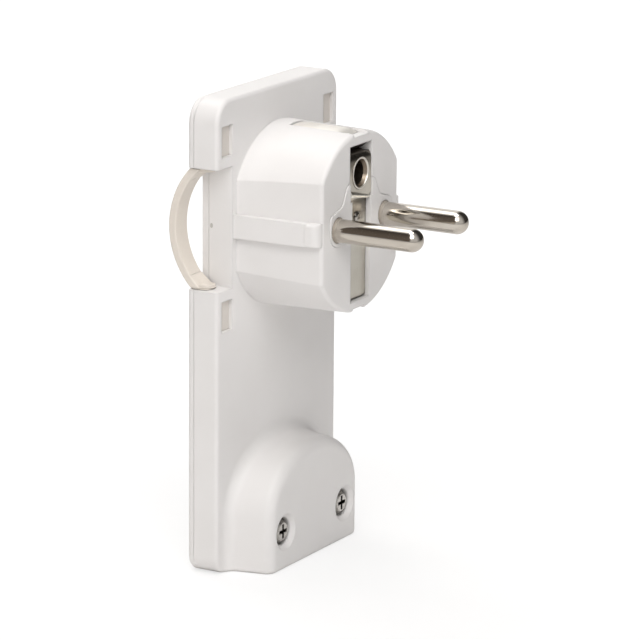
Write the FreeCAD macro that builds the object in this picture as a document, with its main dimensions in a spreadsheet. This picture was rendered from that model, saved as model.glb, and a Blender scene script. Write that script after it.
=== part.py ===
import FreeCAD, Part
import os
import re

import Sketcher

# Flat rewirable mains plug with two round pins, an earth strap with a socket for
# an earth pin, and a hinged pull bow in a notch of the left edge.
# Frame: origin on the engaging face midway between the pins, +Z up along the plate,
# +Y to the rear, so the pins point to -Y. All lengths are in millimetres.

sizes = {
    # contact pins and their terminal heads
    "pin_spacing": 19.0,
    "pin_dia": 4.8,
    "pin_length": 19.4,
    "shank_dia": 5.2,
    "shank_lead": 0.4,
    "collar_dia": 6.8,
    "collar_thick": 1.0,
    "head_width": 7.0,
    "head_depth": 8.0,
    "wire_hole_dia": 3.2,
    "wire_hole_set": 3.0,
    # round boss with side flats and guide ridges
    "boss_depth": 19.2,
    "boss_root_dia": 38.2,
    "boss_draft": 1.0,
    "flat_front": 30.9,
    "flat_root": 33.3,
    "ridge_thick": 4.8,
    "ridge_front": 34.7,
    "ridge_root": 35.7,
    "ridge_setback": 1.2,
    "ridge_lead": 1.7,
    "boss_round": 0.8,
    "face_wall": 3.0,
    "head_room": 0.8,
    # plate
    "plate_width": 48.0,
    "plate_height": 98.0,
    "plate_above": 26.3,
    "plate_below": "=plate_height - plate_above",
    "plate_thick": 7.0,
    "cover_thick": 1.4,
    "front_wall": 1.6,
    "side_wall": 1.6,
    "corner_radius": 5.0,
    "foot_radius": 3.6,
    "edge_round": 0.8,
    # hump over the cord entry
    "hump_height": 9.3,
    "hump_side_set": 4.3,
    "hump_draft": 2.0,
    "arch_up": 11.7,
    "arch_drop": "=plate_below - arch_up",
    "arch_front_rise": 12.6,
    "arch_root_rise": 13.6,
    "hump_round": 2.4,
    "hump_base_round": 2.5,
    "hump_wall": 1.8,
    "bottom_wall": 2.0,
    "cord_hole_dia": 8.0,
    "cord_axis_set": 6.5,
    # housing screws in the hump and the cover pillars that take them
    "screw_set": 5.6,
    "screw_up": 7.9,
    "screw_drop": "=plate_below - screw_up",
    "screw_dia": 3.0,
    "screw_head_dia": 5.4,
    "screw_head_height": 2.0,
    "screw_head_sink": 0.7,
    "screw_length": 10.0,
    "recess_dia": 5.9,
    "mouth_dia": 7.7,
    "mouth_depth": 0.9,
    "seat_thick": 1.8,
    "seat_wall": 1.3,
    "pillar_dia": 6.4,
    # cord clamp
    "clamp_spacing": 14.4,
    "clamp_up": 15.2,
    "clamp_drop": "=plate_below - clamp_up",
    "clamp_post_dia": 5.0,
    "clamp_bar_length": 20.0,
    "clamp_bar_width": 5.0,
    "clamp_bar_thick": 1.8,
    "clamp_screw_dia": 2.4,
    "clamp_head_dia": 4.4,
    "clamp_head_height": 1.4,
    "clamp_screw_length": 6.0,
    # notch and pull bow
    "notch_height": 25.0,
    "notch_depth": 5.8,
    "ledge_wall": 2.4,
    "bow_width": 4.5,
    "bow_inset": 0.7,
    "bow_root_out": 2.65,
    "bow_root_in": 0.26,
    "bow_apex_thick": 1.7,
    "bow_edge": 0.3,
    "bow_reach": 4.9,
    "bow_end_gap": 0.3,
    "pivot_set": 4.3,
    "hub_dia": 3.6,
    "hub_height": 0.6,
    "trunnion_dia": 1.8,
    "trunnion_length": 1.6,
    # windows of the plate and the cover tongues in them
    "window_set": 3.8,
    "window_pitch_z": 35.8,
    "window_width": 4.2,
    "window_height": 6.3,
    "tongue_sink": 1.0,
    # earth parts
    "earth_offset": 10.0,
    "tube_dia": 6.6,
    "tube_bore_dia": 5.0,
    "tube_mouth_dia": 5.9,
    "tube_mouth_depth": 0.9,
    "tube_depth": 11.0,
    "tube_end": 1.2,
    "strap_thick": 0.6,
    "bend_round": 0.5,
    "eye_bend": 2.0,
    "eye_width": 8.7,
    "eye_top": 14.6,
    "eye_low": 4.8,
    "eye_recess": 0.15,
    "strip_width": 7.4,
    "strip_recess": 0.9,
    "web_reach": 2.0,
    "leg_width": 5.2,
    "leg_sink": 0.5,
    "leg_back": 15.0,
    "leg_set": 4.4,
    "web_thick": 2.2,
    "web_notch": 0.9,
    "slot_top": 16.0,
    "rivet_dia": 1.4,
    "rivet_head_dia": 2.3,
    "rivet_head_height": 0.5,
    "rivet_depth": 1.2,
    "rivet_up": 0.9,
    "terminal_width": 7.0,
    "terminal_height": 6.2,
    "terminal_depth": 8.0,
    # terminal screws
    "term_screw_dia": 2.6,
    "term_head_dia": 4.4,
    "term_head_height": 1.5,
    "term_screw_length": 4.0,
    "driver_slot": 0.7,
    # pin bridge
    "bridge_proud": 0.25,
    "bridge_side": 2.9,
    "bridge_low": 3.4,
    "bridge_shoulder": 3.0,
    "bell_mid_half": 7.6,
    "bell_mid_up": 4.4,
    "bell_top_half": 5.4,
    "bell_top_up": 8.4,
    "bell_round": 1.2,
    "bell_end_round": 3.0,
    "flange_thick": 2.0,
    "flange_top": 4.0,
    "bridge_post_dia": 4.0,
    "bridge_post_pitch": 10.0,
    "bridge_post_drop": 9.6,
    # clearances
    "fit_clear": 0.05,
    "part_clear": 0.15,
}

doc = FreeCAD.newDocument("flat_mains_plug")
sheet = doc.addObject("Spreadsheet::Sheet", "dims")
for row, (name, value) in enumerate(sizes.items(), start=1):
    sheet.set(f"A{row}", name)
    sheet.set(f"B{row}", str(value))
    sheet.setAlias(f"B{row}", name)
doc.recompute()


def bind(obj, prop, text):
    # size names in the text become cells of the sheet
    def cell(match):
        word = match.group()
        return "dims." + word if word in sizes else word

    obj.setExpression(prop, re.sub(r"[a-z_]+", cell, str(text)))


def size(name):
    return float(sheet.get(name))


def box(name, low, high):
    obj = doc.addObject("Part::Box", name)
    for prop, axis, a, b in zip(("Length", "Width", "Height"), "xyz", low, high):
        bind(obj, prop, f"({b}) - ({a})")
        bind(obj, f"Placement.Base.{axis}", a)
    return obj


TURNS = {
    "x": FreeCAD.Rotation(FreeCAD.Vector(0, 1, 0), 90),
    "y": FreeCAD.Rotation(FreeCAD.Vector(1, 0, 0), -90),
    "z": FreeCAD.Rotation(),
}


def place(obj, axis, base):
    obj.Placement = FreeCAD.Placement(FreeCAD.Vector(), TURNS[axis])
    for name, text in zip("xyz", base):
        bind(obj, f"Placement.Base.{name}", text)


def rod(name, axis, base, length, radius):
    obj = doc.addObject("Part::Cylinder", name)
    bind(obj, "Radius", radius)
    bind(obj, "Height", length)
    place(obj, axis, base)
    return obj


def cone(name, axis, base, length, first_radius, last_radius):
    obj = doc.addObject("Part::Cone", name)
    bind(obj, "Radius1", first_radius)
    bind(obj, "Radius2", last_radius)
    bind(obj, "Height", length)
    place(obj, axis, base)
    return obj


def ball(name, base, radius):
    obj = doc.addObject("Part::Sphere", name)
    bind(obj, "Radius", radius)
    place(obj, "z", base)
    return obj


def wedge(name, front, root, first, last):
    # block between Y = front and Y = root; first and last are (x low, x high, z low, z high) there
    obj = doc.addObject("Part::Wedge", name)
    bind(obj, "Ymin", front)
    bind(obj, "Ymax", root)
    for prop, text in zip(("Xmin", "Xmax", "Zmin", "Zmax"), first):
        bind(obj, prop, text)
    for prop, text in zip(("X2min", "X2max", "Z2min", "Z2max"), last):
        bind(obj, prop, text)
    return obj


def ellipse(name, y, z, half_width, rise):
    obj = doc.addObject("Part::Ellipse", name)
    bind(obj, "MajorRadius", half_width)
    bind(obj, "MinorRadius", rise)
    obj.Placement = FreeCAD.Placement(FreeCAD.Vector(), FreeCAD.Rotation(FreeCAD.Vector(1, 0, 0), 90))
    bind(obj, "Placement.Base.y", y)
    bind(obj, "Placement.Base.z", z)
    return obj


def loft(name, sections):
    obj = doc.addObject("Part::Loft", name)
    obj.Sections = sections
    obj.Solid = True
    obj.Ruled = True
    return obj


def fuse(name, shapes):
    obj = doc.addObject("Part::MultiFuse", name)
    obj.Shapes = shapes
    obj.Refine = True
    return obj


def common(name, shapes):
    obj = doc.addObject("Part::MultiCommon", name)
    obj.Shapes = shapes
    return obj


def cut(name, base, tools):
    obj = doc.addObject("Part::Cut", name)
    obj.Base = base
    obj.Tool = tools[0] if len(tools) == 1 else fuse(name + "_tools", tools)
    obj.Refine = True
    return obj


def round_edges(name, base, radius, wanted):
    # fillet of every edge of the base that the wanted test accepts
    doc.recompute()
    picked = [(i, radius, radius) for i, edge in enumerate(base.Shape.Edges, start=1) if wanted(edge)]
    obj = doc.addObject("Part::Fillet", name)
    obj.Base = base
    obj.Edges = picked
    return obj


def mirror_x(name, source):
    obj = doc.addObject("Part::Mirroring", name)
    obj.Source = source
    obj.Base = FreeCAD.Vector(0, 0, 0)
    obj.Normal = FreeCAD.Vector(1, 0, 0)
    return obj


def profile(body, role, points, offset="0"):
    # closed sketch on an origin plane of the body, each corner bound to its two expressions
    plane = [f for f in body.Origin.OriginFeatures if f.Role == role][0]
    sketch = body.newObject("Sketcher::SketchObject", body.Label + "_profile")
    sketch.AttachmentSupport = [(plane, "")]
    sketch.MapMode = "FlatFace"
    bind(sketch, "AttachmentOffset.Base.z", offset)
    corners = [FreeCAD.Vector(*(guess(text) for text in point), 0) for point in points]
    for a, b in zip(corners, corners[1:] + corners[:1]):
        sketch.addGeometry(Part.LineSegment(a, b), False)
    count = len(points)
    for i in range(count):
        sketch.addConstraint(Sketcher.Constraint("Coincident", i, 2, (i + 1) % count, 1))
    for i, point in enumerate(points):
        for kind, axis, text, value in zip(("DistanceX", "DistanceY"), (-2, -1), point, corners[i]):
            if text == "0":
                sketch.addConstraint(Sketcher.Constraint("PointOnObject", i, 1, axis))
            else:
                index = sketch.addConstraint(Sketcher.Constraint(kind, -1, 1, i, 1, value))
                bind(sketch, f"Constraints[{index}]", text)
    return sketch


def guess(text):
    # first position of a corner, before the sketch is solved
    numbers = re.sub(r"[a-z_]+", lambda m: str(size(m.group())), str(text))
    return FreeCAD.Units.Quantity(f"({numbers})").Value


def pad(label, role, points, start, length):
    body = doc.addObject("PartDesign::Body", label)
    sketch = profile(body, role, points, start)
    feature = body.newObject("PartDesign::Pad", label + "_pad")
    feature.Profile = sketch
    bind(feature, "Length", length)
    return body


def turned(label, points, base):
    # revolved about the Y axis; points are (radius, y)
    body = doc.addObject("PartDesign::Body", label)
    sketch = profile(body, "XY_Plane", points)
    feature = body.newObject("PartDesign::Revolution", label + "_turn")
    feature.Profile = sketch
    feature.ReferenceAxis = (sketch, ["V_Axis"])
    feature.Angle = 360.0
    for name, text in zip("xyz", base):
        bind(body, f"Placement.Base.{name}", text)
    return body


# planes along Y
hump_front = "boss_depth - hump_height"
plate_inside = "boss_depth + front_wall"
seam = "boss_depth + plate_thick - cover_thick"
rear = "boss_depth + plate_thick"
screw_seat = "boss_depth - hump_height + screw_head_sink + screw_head_height"
clamp_seat = "boss_depth - hump_height + cord_axis_set + cord_hole_dia / 2 + part_clear"
flange_back = "face_wall + flange_thick"
strip_floor = "strip_recess + strap_thick"
boss_front_dia = "(boss_root_dia - boss_draft)"
boss_bore_dia = "(pin_spacing + head_width + 2 * head_room)"
bridge_half = "(pin_spacing / 2 + bridge_side)"
leg_radius = "((boss_root_dia - boss_draft) / 2 - leg_sink)"
strip_end = f"({leg_radius} - web_reach)"
hump_root_half = "(plate_width / 2 - hump_side_set)"
hump_front_half = "(plate_width / 2 - hump_side_set - hump_draft)"
screw_x = "(plate_width / 2 - hump_side_set - hump_draft - screw_set)"
window_x = "(plate_width / 2 - window_set)"
bow_apex = "boss_depth + plate_thick + bow_reach"
pivot_x = "-plate_width / 2 + bow_inset + bow_width / 2"
pivot_y = "boss_depth + pivot_set"


def on_plane(edge, y):
    # the whole edge lies in the plane at this Y
    return all(abs(p.y - y) < 1e-6 for p in edge.discretize(5))


def along_y(edge):
    first, last = edge.discretize(2)
    return abs(first.x - last.x) < 1e-6 and abs(first.z - last.z) < 1e-6


def within(edge, half, low):
    # the edge stays inside the sides at half and above the low end, apart from its own ends
    middle = edge.CenterOfMass
    return abs(middle.x) < guess(half) - 1e-3 and guess(low) + 1e-3 < middle.z < 0


def at_foot(edge):
    return all(abs(p.z + size("plate_below")) < 1e-6 for p in edge.discretize(5))


def bends(spots):
    # test for the edges along X that pass through these (y, z) spots
    places = [(guess(y), guess(z)) for y, z in spots]

    def wanted(edge):
        ends = edge.discretize(2)
        return any(all(abs(p.y - y) < 1e-6 and abs(p.z - z) < 1e-6 for p in ends) for y, z in places)

    return wanted


def plate_outline(name, front, back, inset, floor_inset):
    block = box(
        name + "_block",
        (f"-plate_width / 2 + {inset}", front, f"-plate_below + {floor_inset}"),
        (f"plate_width / 2 - {inset}", back, f"plate_above - {inset}"),
    )
    reach = 0.0 if inset == "0" else size(inset)
    shoulders = round_edges(
        name + "_shoulders", block, size("corner_radius") - reach,
        lambda e: along_y(e) and e.CenterOfMass.z > 0,
    )
    return round_edges(
        name, shoulders, size("foot_radius") - reach,
        lambda e: along_y(e) and abs(e.CenterOfMass.z - guess(f"-plate_below + {floor_inset}")) < 1e-6,
    )


# Front housing: plate, boss with drafted flats and ridges, arched hump, all hollow from the rear
boss_cone = cone(
    "boss_cone", "y", ("0", "0", "0"), "boss_depth", f"{boss_front_dia} / 2", "boss_root_dia / 2",
)
boss_flats = wedge(
    "boss_flats", "0", "boss_depth",
    ("-flat_front / 2", "flat_front / 2", "-boss_root_dia", "boss_root_dia"),
    ("-flat_root / 2", "flat_root / 2", "-boss_root_dia", "boss_root_dia"),
)
boss_raw = common("boss_raw", [boss_cone, boss_flats])
boss = round_edges("boss", boss_raw, size("boss_round"), lambda e: on_plane(e, 0))
ridge_lead = wedge(
    "ridge_lead_in", "ridge_setback", "ridge_setback + ridge_lead",
    ("-flat_front / 2", "flat_front / 2", "-ridge_thick / 2", "ridge_thick / 2"),
    ("-ridge_front / 2", "ridge_front / 2", "-ridge_thick / 2", "ridge_thick / 2"),
)
ridge = wedge(
    "ridge", "ridge_setback + ridge_lead", "boss_depth",
    ("-ridge_front / 2", "ridge_front / 2", "-ridge_thick / 2", "ridge_thick / 2"),
    ("-ridge_root / 2", "ridge_root / 2", "-ridge_thick / 2", "ridge_thick / 2"),
)


def arch(name, front, back, inset, floor):
    # drafted arch: a half-elliptical top over straight sides, from Y = front to Y = back
    front_half = f"{hump_front_half} - {inset}"
    back_half = f"{hump_root_half} - {inset}"
    top = loft(name + "_top", [
        ellipse(name + "_front_oval", front, "-arch_drop", front_half, f"arch_front_rise - {inset}"),
        ellipse(name + "_root_oval", back, "-arch_drop", back_half, f"arch_root_rise - {inset}"),
    ])
    sides = wedge(
        name + "_sides", front, back,
        (f"-({front_half})", front_half, "-plate_below - hump_height", "-arch_drop"),
        (f"-({back_half})", back_half, "-plate_below - hump_height", "-arch_drop"),
    )
    below = box(
        name + "_below",
        ("-plate_width", f"{front} - hump_height", "-2 * plate_below"),
        ("plate_width", f"{back} + hump_height", floor),
    )
    return cut(name, fuse(name + "_solid", [top, sides]), [below])


# plate and hump run on below the foot, are blended into each other and then trimmed to the outline
low_end = "-plate_below - hump_height / 2"
hump_raw = arch("hump_raw", hump_front, "boss_depth", "0", low_end)
hump_face = guess(hump_front)
hump = round_edges(
    "hump", hump_raw, size("hump_round"),
    lambda e: on_plane(e, hump_face) and e.BoundBox.ZMax > guess(low_end) + size("fit_clear"),
)
slab = box("slab", ("-plate_width / 2", "boss_depth", low_end), ("plate_width / 2", seam, "plate_above"))
blended = round_edges(
    "blended", fuse("slab_and_hump", [slab, hump]), size("hump_base_round"),
    lambda e: on_plane(e, size("boss_depth")) and within(e, "plate_width / 2", low_end),
)
outline = plate_outline("outline", f"{hump_front} - hump_height", seam, "0", "0")
plate_raw = common("plate_raw", [blended, outline])
plate = round_edges(
    "plate", plate_raw, size("edge_round"),
    lambda e: on_plane(e, size("boss_depth")) or (at_foot(e) and not on_plane(e, guess(seam))),
)
outside = fuse("housing_outside", [plate, boss, ridge_lead, ridge])

plate_hollow = plate_outline(
    "plate_hollow", plate_inside, f"{seam} + cover_thick", "side_wall", "bottom_wall",
)
notch_walls = box(
    "notch_walls",
    ("-plate_width", "0", "-notch_height / 2 - ledge_wall"),
    ("-plate_width / 2 + notch_depth + side_wall", f"{rear} + cover_thick", "notch_height / 2 + ledge_wall"),
)
plate_room = cut("plate_room", plate_hollow, [notch_walls])
boss_room = rod(
    "boss_room", "y", ("0", "face_wall", "0"),
    f"{plate_inside} - face_wall + fit_clear", f"{boss_bore_dia} / 2",
)
hump_room = arch(
    "hump_room", f"{hump_front} + hump_wall", f"{plate_inside} + fit_clear",
    "hump_round", "-plate_below + bottom_wall",
)
shell = cut("housing_shell", outside, [plate_room, boss_room, hump_room])

posts = []
for side, sign in (("left", "-"), ("right", "")):
    x_screw = f"{sign}{screw_x}"
    x_clamp = f"{sign}clamp_spacing / 2"
    posts.append(rod(
        f"seat_post_{side}", "y", (x_screw, f"{hump_front} + hump_wall", "-screw_drop"),
        f"{screw_seat} + seat_thick - ({hump_front} + hump_wall)", "recess_dia / 2 + seat_wall",
    ))
    posts.append(rod(
        f"clamp_post_{side}", "y", (x_clamp, f"{hump_front} + hump_wall", "-clamp_drop"),
        f"{clamp_seat} - ({hump_front} + hump_wall)", "clamp_post_dia / 2",
    ))
ribbed = fuse("housing_ribbed", [shell] + posts)

openings = []
for side, sign in (("left", "-"), ("right", "")):
    x_screw = f"{sign}{screw_x}"
    openings.append(rod(
        f"recess_{side}", "y", (x_screw, f"{hump_front} - screw_head_height", "-screw_drop"),
        f"{screw_seat} - ({hump_front}) + screw_head_height", "recess_dia / 2",
    ))
    openings.append(cone(
        f"mouth_{side}", "y", (x_screw, hump_front, "-screw_drop"),
        "mouth_depth", "mouth_dia / 2", "recess_dia / 2",
    ))
    openings.append(rod(
        f"shank_way_{side}", "y", (x_screw, f"{screw_seat} - seat_thick", "-screw_drop"),
        "3 * seat_thick", "screw_dia / 2 + part_clear",
    ))
    openings.append(rod(
        f"clamp_hole_{side}", "y",
        (f"{sign}clamp_spacing / 2", f"{clamp_seat} - clamp_screw_length", "-clamp_drop"),
        "clamp_screw_length + clamp_bar_thick", "clamp_screw_dia / 2 + fit_clear",
    ))
    for level, up in (("low", "-"), ("high", "")):
        x_mid = f"{sign}{window_x}"
        z_mid = f"{up}window_pitch_z / 2"
        openings.append(box(
            f"window_{level}_{side}",
            (f"{x_mid} - window_width / 2", "boss_depth - front_wall", f"{z_mid} - window_height / 2"),
            (f"{x_mid} + window_width / 2", plate_inside, f"{z_mid} + window_height / 2"),
        ))
cord_hole = rod(
    "cord_hole", "z", ("0", f"{hump_front} + cord_axis_set", "-plate_below - bottom_wall"),
    "3 * bottom_wall", "cord_hole_dia / 2",
)


def notch(name):
    return box(
        name,
        ("-plate_width", "0", "-notch_height / 2"),
        ("-plate_width / 2 + notch_depth", f"{rear} + plate_thick", "notch_height / 2"),
    )


trunnion_hole = rod(
    "trunnion_hole", "z", (pivot_x, pivot_y, "-notch_height / 2 - trunnion_length"),
    "notch_height + 2 * trunnion_length", "trunnion_dia / 2 + fit_clear",
)
openings += [cord_hole, notch("housing_notch"), trunnion_hole]

# room for the earth strap: channel and window on the boss face, slots and side grooves for its legs
leg_half = "leg_width / 2 + part_clear"
web_back = "web_thick + 2 * part_clear"
channel_low = f"-{strip_end} - part_clear"


def strap_channel(name):
    return box(
        name,
        ("-strip_width / 2 - part_clear", "-face_wall", channel_low),
        ("strip_width / 2 + part_clear", strip_floor, "eye_low + strap_thick"),
    )


def eye_window(name):
    return box(
        name,
        ("-eye_width / 2 - part_clear", "-face_wall", "eye_low - part_clear"),
        ("eye_width / 2 + part_clear", "leg_set + strap_thick + part_clear", "slot_top"),
    )


low_turn = box(
    "low_turn",
    (f"-({leg_half})", "strip_recess", channel_low),
    (leg_half, f"{web_back} + strap_thick + part_clear", f"-{strip_end} + strap_thick + part_clear"),
)
low_slot = box(
    "low_slot",
    (f"-({leg_half})", "web_thick", "-boss_root_dia / 2"),
    (leg_half, f"{web_back} + strap_thick + part_clear", f"-{strip_end}"),
)
high_slot = box(
    "high_slot",
    (f"-({leg_half})", "leg_set - part_clear", "eye_low"),
    (leg_half, "leg_set + strap_thick + part_clear", "boss_root_dia / 2"),
)
low_groove = box(
    "low_groove",
    (f"-({leg_half})", "web_thick", "-boss_root_dia"),
    (leg_half, "leg_back + part_clear", f"-{leg_radius} + strap_thick"),
)
high_groove = box(
    "high_groove",
    (f"-({leg_half})", "web_thick", f"{leg_radius} - strap_thick"),
    (leg_half, "leg_back + part_clear", "boss_root_dia"),
)
low_lead = box(
    "low_lead",
    (f"-({leg_half})", "-face_wall", "-boss_root_dia"),
    (leg_half, "web_thick + part_clear", f"-{boss_front_dia} / 2 + web_notch"),
)
high_lead = box(
    "high_lead",
    (f"-({leg_half})", "-face_wall", f"{boss_front_dia} / 2 - web_notch"),
    (leg_half, "web_thick + part_clear", "boss_root_dia"),
)
openings += [strap_channel("housing_channel"), eye_window("housing_eye_window"), low_turn]
openings += [low_slot, high_slot, low_groove, high_groove, low_lead, high_lead]


def bell(label, grow, front, back):
    # outline of the pin bridge on the boss face, widened by grow
    right = [
        (f"{bridge_half} + {grow}", f"-bridge_low - {grow}"),
        (f"{bridge_half} + {grow}", f"bridge_shoulder + {grow}"),
        (f"bell_mid_half + {grow}", f"bell_mid_up + {grow}"),
        (f"bell_top_half + {grow}", f"bell_top_up + {grow}"),
    ]
    left = [(f"-({x})", z) for x, z in reversed(right)]
    sharp = pad(label + "_sharp", "XZ_Plane", right + left, f"-({back})", f"{back} - ({front})")
    upper = round_edges(
        label + "_upper", sharp, size("bell_round"), lambda e: along_y(e) and e.CenterOfMass.z > 0,
    )
    return round_edges(
        label, upper, size("bell_end_round"), lambda e: along_y(e) and e.CenterOfMass.z < -size("bell_round"),
    )


openings.append(bell("bridge_opening", "fit_clear", "-face_wall", "face_wall"))
front_housing = cut("front_housing", ribbed, openings)

# Rear cover: rounded lid with the screw pillars, the posts behind the pin bridge and the window tongues
lid_raw = plate_outline("lid_raw", seam, rear, "0", "0")
lid = round_edges(
    "lid", lid_raw, size("edge_round"), lambda e: on_plane(e, size("boss_depth") + size("plate_thick")),
)
cover_parts = [lid]
cover_cuts = [notch("cover_notch")]
for side, sign in (("left", "-"), ("right", "")):
    x_screw = f"{sign}{screw_x}"
    pillar_front = f"{screw_seat} + seat_thick + part_clear"
    cover_parts.append(rod(
        f"pillar_{side}", "y", (x_screw, pillar_front, "-screw_drop"),
        f"{seam} - ({pillar_front})", "pillar_dia / 2",
    ))
    cover_cuts.append(rod(
        f"pillar_hole_{side}", "y", (x_screw, f"{screw_seat} + seat_thick", "-screw_drop"),
        "screw_length - seat_thick + part_clear", "screw_dia / 2 + fit_clear",
    ))
    cover_parts.append(rod(
        f"bridge_post_{side}", "y", (f"{sign}bridge_post_pitch / 2", flange_back, "-bridge_post_drop"),
        f"{seam} - ({flange_back})", "bridge_post_dia / 2",
    ))
    for level, up in (("low", "-"), ("high", "")):
        z_mid = f"{up}window_pitch_z / 2"
        half_up = "(window_height / 2 - 2 * part_clear)"
        half_across = "(window_width / 2 - part_clear)"
        cover_parts.append(box(
            f"tongue_{level}_{side}",
            (f"{sign}{window_x} - {half_across}", "boss_depth + tongue_sink", f"{z_mid} - {half_up}"),
            (f"{sign}{window_x} + {half_across}", seam, f"{z_mid} + {half_up}"),
        ))
rear_cover = cut("rear_cover", fuse("cover_solid", cover_parts), cover_cuts)

# Pull bow: crescent strap that bulges to the rear, with a hub and trunnion at each end
bow_low = "-plate_width / 2 + bow_inset"
bow_tip = "notch_height / 2 - bow_end_gap"
outer_rise = "(plate_thick + bow_reach - pivot_set - bow_root_out)"
inner_rise = "(plate_thick + bow_reach - pivot_set - bow_apex_thick - bow_root_in)"
outer_radius = f"(({bow_tip})^2 + {outer_rise}^2) / (2 * {outer_rise})"
inner_radius = f"(({bow_tip})^2 + {inner_rise}^2) / (2 * {inner_rise})"
bow_outer = rod(
    "bow_outer", "x", (bow_low, f"{bow_apex} - {outer_radius}", "0"), "bow_width", outer_radius,
)
bow_inner = rod(
    "bow_inner", "x", (f"{bow_low} - bow_width", f"{bow_apex} - bow_apex_thick - {inner_radius}", "0"),
    "3 * bow_width", inner_radius,
)
bow_span = box(
    "bow_span",
    (bow_low, pivot_y, f"-({bow_tip})"),
    (f"{bow_low} + bow_width", f"{bow_apex} + bow_reach", bow_tip),
)
bow_sharp = common("bow_sharp", [cut("bow_crescent", bow_outer, [bow_inner]), bow_span])
bow_strap = round_edges(
    "bow_strap", bow_sharp, size("bow_edge"), lambda e: e.Curve.TypeId == "Part::GeomCircle",
)
bow_parts = [bow_strap]
trunnion_foot = f"-({bow_tip}) - bow_end_gap - trunnion_length + part_clear"
bow_ends = (
    ("low", f"-({bow_tip})", trunnion_foot),
    ("high", f"{bow_tip} - hub_height", bow_tip),
)
for end, start, foot in bow_ends:
    bow_parts.append(rod(f"bow_hub_{end}", "z", (pivot_x, pivot_y, start), "hub_height", "hub_dia / 2"))
    bow_parts.append(rod(
        f"bow_trunnion_{end}", "z", (pivot_x, pivot_y, foot),
        "trunnion_length + bow_end_gap - part_clear", "trunnion_dia / 2",
    ))
pull_bow = fuse("pull_bow", bow_parts)

# Pin bridge: bell-shaped insert in the boss face on a flange behind it
bridge_island = bell("bridge_island", "0", "-bridge_proud", "face_wall")
bridge_disc = rod(
    "bridge_disc", "y", ("0", "face_wall", "0"), "flange_thick", f"{boss_bore_dia} / 2 - part_clear",
)
bridge_trim = box(
    "bridge_trim",
    ("-boss_root_dia", "face_wall", "flange_top"),
    ("boss_root_dia", flange_back, "boss_root_dia"),
)
bridge_flange = cut("bridge_flange", bridge_disc, [bridge_trim])
bridge_cuts = [strap_channel("bridge_channel"), eye_window("bridge_eye_window")]
for side, sign in (("left", "-"), ("right", "")):
    bridge_cuts.append(rod(
        f"pin_way_{side}", "y", (f"{sign}pin_spacing / 2", "-face_wall", "0"),
        f"{flange_back} + 2 * face_wall", "shank_dia / 2 + fit_clear",
    ))
bridge_cuts.append(rod(
    "bridge_rivet_hole", "y", ("0", "0", "rivet_up"),
    f"{strip_floor} + rivet_depth", "rivet_dia / 2 + fit_clear",
))
pin_bridge = cut("pin_bridge", fuse("bridge_solid", [bridge_island, bridge_flange]), bridge_cuts)


def terminal_cuts(name, x, front, depth, z, height):
    # wire hole along Z and screw hole from the rear of a terminal block
    wire = rod(
        name + "_wire_hole", "z", (x, f"{front} + wire_hole_set", f"{z} - {height}"),
        f"2 * {height}", "wire_hole_dia / 2",
    )
    screw = rod(
        name + "_screw_hole", "y", (x, f"{front} + wire_hole_set", z),
        depth, "term_screw_dia / 2 + fit_clear",
    )
    return [wire, screw]


# Contact pins: round-nosed pin, shank in the bridge, collar behind it and a block-shaped terminal head
pins = []
head_front = "face_wall + flange_thick + collar_thick"
for label, sign in (("line_pin", "-"), ("neutral_pin", "")):
    x_pin = f"{sign}pin_spacing / 2"
    stem = rod(
        label + "_stem", "y", (x_pin, "-pin_length + pin_dia / 2", "0"),
        "pin_length - pin_dia / 2", "pin_dia / 2",
    )
    shank = rod(
        label + "_shank", "y", (x_pin, "-bridge_proud", "0"),
        f"{flange_back} + bridge_proud", "shank_dia / 2",
    )
    flare = cone(
        label + "_flare", "y", (x_pin, "-bridge_proud - shank_lead", "0"), "shank_lead",
        "pin_dia / 2", "shank_dia / 2",
    )
    nose = ball(label + "_nose", (x_pin, "-pin_length + pin_dia / 2", "0"), "pin_dia / 2")
    collar = rod(label + "_collar", "y", (x_pin, flange_back, "0"), "collar_thick", "collar_dia / 2")
    head = box(
        label + "_head",
        (f"{x_pin} - head_width / 2", head_front, "-head_width / 2"),
        (f"{x_pin} + head_width / 2", f"{head_front} + head_depth", "head_width / 2"),
    )
    solid = fuse(label + "_solid", [stem, nose, flare, shank, collar, head])
    pins.append(cut(label, solid, terminal_cuts(label, x_pin, head_front, "head_depth", "0", "head_width")))


def slotted_screw(label, x, seat, z):
    # cheese-head screw along Y whose head stands behind the seat
    screw = turned(label + "_blank", [
        ("0", "-term_screw_length"),
        ("term_screw_dia / 2", "-term_screw_length"),
        ("term_screw_dia / 2", "0"),
        ("term_head_dia / 2", "0"),
        ("term_head_dia / 2", "term_head_height"),
        ("0", "term_head_height"),
    ], (x, seat, z))
    slot = box(
        label + "_slot",
        (f"{x} - driver_slot / 2", f"{seat} + term_head_height / 2", f"{z} - term_head_dia"),
        (f"{x} + driver_slot / 2", f"{seat} + 2 * term_head_height", f"{z} + term_head_dia"),
    )
    return cut(label, screw, [slot])


head_back = "face_wall + flange_thick + collar_thick + head_depth"
line_terminal_screw = slotted_screw("line_terminal_screw", "-pin_spacing / 2", head_back, "0")
neutral_terminal_screw = slotted_screw("neutral_terminal_screw", "pin_spacing / 2", head_back, "0")

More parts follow.
